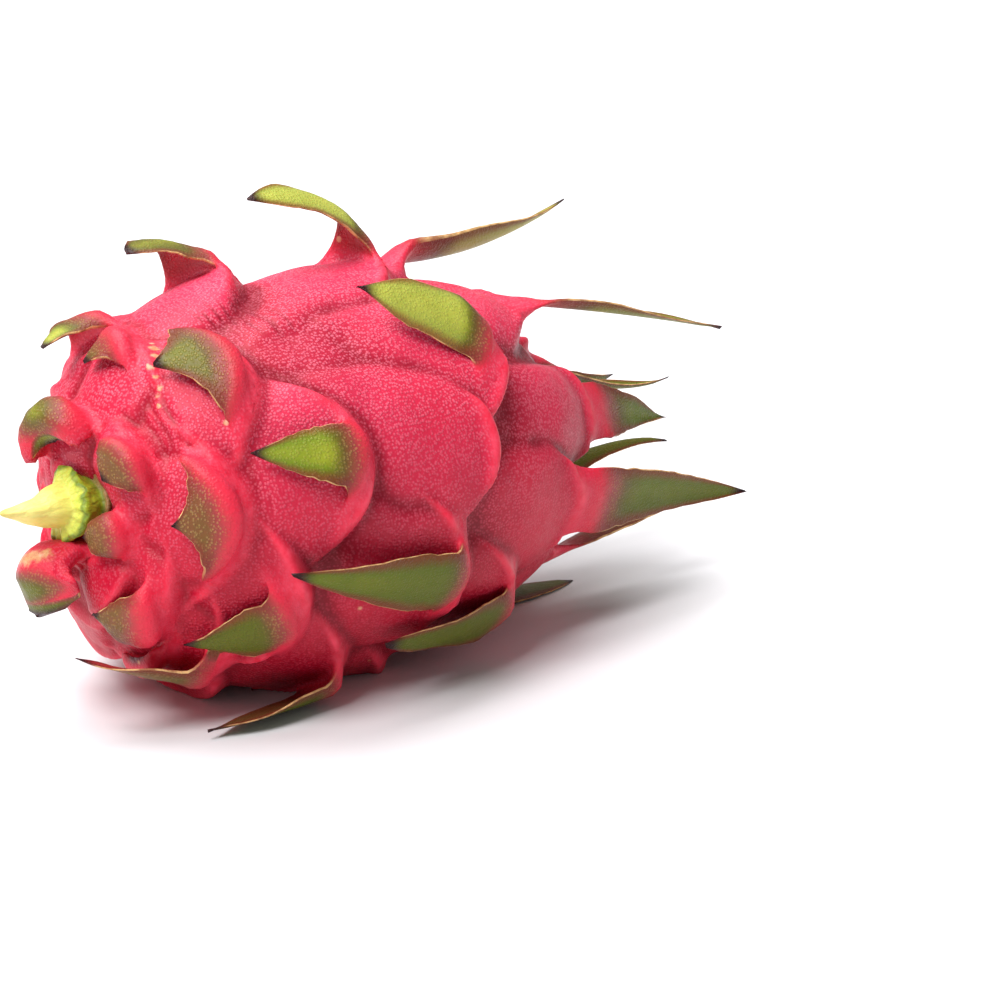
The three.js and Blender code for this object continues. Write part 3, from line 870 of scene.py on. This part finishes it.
def make_stub():
    """The torn stub of the stem, as one tube of rings from its root in the pit to the end of its sliver."""
    tilt = math.radians(STUB_TILT)
    out = -ALONG * math.cos(tilt) + UP * math.sin(tilt)
    up = ALONG * math.sin(tilt) + UP * math.cos(tilt)
    foot = ALONG * (profile(POLE_GAP)[0] + STUB_SHIFT[0]) + UP * STUB_SHIFT[1]
    angle = np.linspace(0, 2 * math.pi, 96, endpoint=False)
    circle = np.stack([np.cos(angle), np.sin(angle), 0 * angle], axis=1) * COLLAR_RADIUS
    torn = 0.7 * np.sin(angle + 2.4) + 1.5 * ripple(circle, 5, 3) + 0.9 * ripple(circle, 1.7, 8)
    rings, shares, skins = [], [], []

    def ring(reach, radius, share, green, tear=0.0, flat=1.0, drop=0.0):
        r = radius * (1 + 0.06 * np.sin(3 * angle + 1) + 0.018 * np.sin(9 * angle + 0.2 * reach))
        r = r * (1 + 0.05 * np.sin(2 * angle + 0.35 * reach) + 0.03 * math.sin(1.1 * reach))
        along = reach + tear * torn
        rings.append(foot + out * along[:, None] + SIDE * (r * np.cos(angle))[:, None]
                     + up * (r * flat * np.sin(angle) - drop)[:, None])
        shares.append(np.full(len(angle), share))
        skins.append(np.full(len(angle), green))

    for reach, radius, share in ((STUB_ROOT, 5.6, 0), (0, 6.4, 0.02), (2.2, PAPER_RADIUS - 0.6, 0.05)):
        ring(reach, radius, share, 1.0)
    ring(3.2, PAPER_RADIUS, 0.08, 1.0, 0.8)
    ring(3.4, PAPER_RADIUS - 0.4, 0.1, 1.0, 0.8)
    ring(2.6, 6.9, 0.13, 1.0, 0.3)
    for share in np.linspace(0.1, 1, 12):
        radius = mix(6.9, COLLAR_RADIUS, smoothstep(share, 0.1, 0.6)) + 0.25 * math.sin(share * 8)
        ring(mix(3.0, COLLAR_REACH, share), radius, mix(0.15, 0.3, share), 1.0, 1.7 * share**2)
    for share in np.linspace(0.1, 1, 7):
        radius = mix(COLLAR_RADIUS - 0.3, CORE_RADIUS + 0.2, share)
        reach = COLLAR_REACH + mix(0.3, 1.4, share)
        ring(reach, radius, mix(0.31, 0.42, share), (1 - share) ** 2, mix(1.7, 0.4, share))
    for share in np.linspace(0.03, 1, 26):
        radius = CORE_RADIUS * (1 - share) ** 0.6 * mix(1, 0.9, share) + 0.25
        ring(mix(COLLAR_REACH + 1.4, SLIVER_REACH, share), radius, mix(0.45, 1, share), 0.0, 0.0,
             mix(0.95, 0.62, share), 1.2 * smoothstep(share, 0, 0.5))
    points, faces = closed_tube(np.array(rings))
    values = {
        "share": np.append(np.concatenate(shares), [0, 1]),
        "green": np.append(np.concatenate(skins), [1, 0]),
    }
    stub = face_out(new_object("stem_stub_piece", points, faces, values))
    stub.data.polygons.foreach_set("use_smooth", [True] * len(stub.data.polygons))
    return stub


def stub_material():
    """Papery brown at the root, yellow-green skin on the collar, and a pale yellow fibrous core."""
    m = Nodes("torn_stem")
    share, green = m.attribute("share"), m.attribute("green")
    patches = m.noise(220, 3)
    uneven = m.math("ADD", share, m.math("MULTIPLY", m.math("SUBTRACT", patches, 0.5), 0.12))
    bark = m.ramp(uneven, [
        (0.0, colour(92, 58, 34)), (0.1, colour(150, 112, 66)), (0.15, colour(118, 130, 34)),
        (0.2, colour(168, 184, 40)), (0.285, colour(150, 172, 36)), (0.31, colour(92, 118, 22)),
        (0.335, colour(196, 206, 70)), (0.42, colour(226, 224, 100)),
    ])
    core = m.ramp(uneven, [
        (0.35, colour(196, 204, 80)), (0.5, colour(230, 222, 108)), (0.85, colour(236, 224, 132)),
        (1.0, colour(206, 190, 100)),
    ])
    stem = m.mix(green, core, bark)
    stained = m.math("MULTIPLY", m.range(m.noise(700, 3), 0.5, 0.75), m.range(green, 0.0, 1.0, 0.12, 0.5))
    stem = m.mix(stained, stem, colour(120, 110, 46))
    m.set(m.shader.inputs["Base Color"], stem)
    m.set(m.shader.inputs["Roughness"], 0.55)
    m.set(m.shader.inputs["Subsurface Weight"], 0.15)
    m.set(m.shader.inputs["Subsurface Scale"], 0.003)
    stretched = m.add("ShaderNodeVectorMath", {"operation": "MULTIPLY"})
    m.set(stretched.inputs[0], m.place())
    m.set(stretched.inputs[1], (0.12, 1.0, 1.0))
    fibres = m.add("ShaderNodeTexNoise", Vector=stretched.outputs[0], Scale=900.0, Detail=3.0).outputs["Fac"]
    m.set(m.shader.inputs["Normal"], m.bump(fibres, 0.0008, 0.8, m.bump(m.noise(260, 3), 0.001, 0.5)))
    return m.material


# The withered base of the flower: root is how far it goes below the navel's floor, height how far above it,
# and tear how ragged its rim is
REMNANT = dict(radius=9.4, wall=2.6, root=4, height=6.5, tear=3)


def make_remnant():
    """The withered base of the flower: a short tube with a torn rim, set in the navel."""
    floor = float(profile(math.pi - POLE_GAP)[0])
    angle = np.linspace(0, 2 * math.pi, 96, endpoint=False)
    torn = 0.5 * np.sin(3 * angle + 1) + 0.3 * np.sin(7 * angle) + 0.25 * np.sin(17 * angle + 2)
    wavy = 1 + 0.04 * np.sin(5 * angle) + 0.02 * np.sin(13 * angle)
    r, wall, root, height, tear = REMNANT.values()
    stations = [
        (floor - root, r * 0.9, 0), (floor - 1, r * 0.96, 0), (floor + 2, r, 0.3),
        (floor + height, r * 1.08, 1), (floor + height + 0.3, r * 1.03, 1),
        (floor + height - 0.5, r * 1.08 - wall * 0.6, 0.9),
        (floor + 4, r - wall * 0.9, 0.4), (floor + 3, r - wall * 1.3, 0.1), (floor + 2.4, r * 0.4, 0.1),
        (floor + 3.4, r * 0.2, 0),
    ]
    rings = []
    for x, radius, raggedness in stations:
        reach = x + tear * raggedness * torn
        ring = ALONG * reach[:, None] + (SIDE * np.sin(angle)[:, None] + UP * np.cos(angle)[:, None]) * (
            radius * wavy)[:, None]
        rings.append(ring)
    points, faces = closed_tube(np.array(rings))
    inner = np.append(np.repeat(np.linspace(0, 1, len(stations)), len(angle)), [0, 1])
    remnant = face_out(new_object("flower_remnant_piece", points, faces, {"inner": inner}))
    remnant.data.polygons.foreach_set("use_smooth", [True] * len(remnant.data.polygons))
    return remnant


def remnant_material():
    """Dry tan tissue outside, and a dark brown hollow."""
    m = Nodes("withered_flower")
    inner = m.attribute("inner")
    dry = m.ramp(m.noise(180, 4), [
        (0.3, colour(196, 160, 96)), (0.5, colour(226, 204, 140)), (0.7, colour(150, 104, 60)),
    ])
    dark = m.ramp(m.noise(260, 3), [(0.3, colour(40, 20, 14)), (0.7, colour(96, 58, 34))])
    m.set(m.shader.inputs["Base Color"], m.mix(m.range(inner, 0.5, 0.75), dry, dark))
    m.set(m.shader.inputs["Roughness"], 0.75)
    m.set(m.shader.inputs["Normal"], m.bump(m.noise(600, 4), 0.001, 0.7))
    return m.material


def add_camera():
    """The photograph's view: where the fruit's middle falls in it, its distance, and how big it looks."""
    azimuth, elevation = math.radians(-42), math.radians(16)
    distance, pixels_per_mm, picture = 700, 4.15, 1000
    middle = Vector((316, 470))
    back = Vector((math.sin(azimuth) * math.cos(elevation), -math.cos(azimuth) * math.cos(elevation),
                   math.sin(elevation)))
    right = Vector((0, 0, 1)).cross(back).normalized()
    up = back.cross(right)
    focal = pixels_per_mm * distance
    target = Vector(FRUIT_CENTRE) + Vector((0, 0, 0.4))
    aside = (middle.x - picture / 2) / focal
    above = (picture / 2 - middle.y) / focal
    eye = target + distance * (back - aside * right - above * up)
    data = bpy.data.cameras.new("camera")
    data.sensor_width = 36
    data.lens = focal / picture * data.sensor_width
    data.clip_start = 0.01
    camera = bpy.data.objects.new("camera", data)
    camera.matrix_world = Matrix.Translation(eye * METRE) @ Matrix((right, up, back)).transposed().to_4x4()
    bpy.context.collection.objects.link(camera)
    bpy.context.scene.camera = camera


def add_light(name, direction, softness, strength):
    """A distant soft light that shines from a direction: softness is how wide it looks, in degrees."""
    data = bpy.data.lights.new(name, "SUN")
    data.angle = math.radians(softness)
    data.energy = strength
    light = bpy.data.objects.new(name, data)
    light.location = direction
    light.rotation_euler = Vector(direction).to_track_quat("Z", "Y").to_euler()
    bpy.context.collection.objects.link(light)


# How strongly the white surround lights the fruit, where the camera sees it plain white
AMBIENT = 0.3


def add_stage():
    """A pale floor, a white surround that lights softly, and soft lights from upper left and behind."""
    size = 6.0
    corners = [(-size, -size, 0), (size, -size, 0), (size, size, 0), (-size, size, 0)]
    mesh = bpy.data.meshes.new("floor")
    mesh.from_pydata(corners, [], [(0, 1, 2, 3)])
    floor = bpy.data.objects.new("floor", mesh)
    bpy.context.collection.objects.link(floor)
    m = Nodes("pale_floor")
    m.set(m.shader.inputs["Base Color"], m.mix(m.noise(3), (0.74, 0.73, 0.75, 1), (0.78, 0.77, 0.79, 1)))
    m.set(m.shader.inputs["Roughness"], 0.6)
    mesh.materials.append(m.material)
    world = bpy.data.worlds.new("studio")
    world.use_nodes = True
    ambient = world.node_tree.nodes["Background"]
    ambient.inputs["Color"].default_value = (1, 1, 1, 1)
    seen = world.node_tree.nodes.new("ShaderNodeLightPath").outputs["Is Camera Ray"]
    strength = world.node_tree.nodes.new("ShaderNodeMapRange")
    strength.inputs["To Min"].default_value = AMBIENT
    strength.inputs["To Max"].default_value = 1.0
    world.node_tree.links.new(seen, strength.inputs["Value"])
    world.node_tree.links.new(strength.outputs[0], ambient.inputs["Strength"])
    bpy.context.scene.world = world
    bpy.context.scene.view_settings.view_transform = "Standard"
    add_light("key", direction=(-1.9, -0.4, 2.5), softness=28, strength=3.0)
    add_light("top", direction=(-0.25, 1.1, 2.75), softness=50, strength=3.2)


fruit = make_fruit()
fruit.data.materials.clear()
fruit.data.materials.append(fruit_material())
stub = make_stub()
stub.data.materials.append(stub_material())
remnant = make_remnant()
remnant.data.materials.append(remnant_material())

for piece, node, slot in (
    (fruit, "fruit", "skin"), (stub, "stem_stub", "stem"), (remnant, "flower_remnant", "withered_flower"),
):
    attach(piece, "root")
    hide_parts(node)

add_camera()
add_stage()
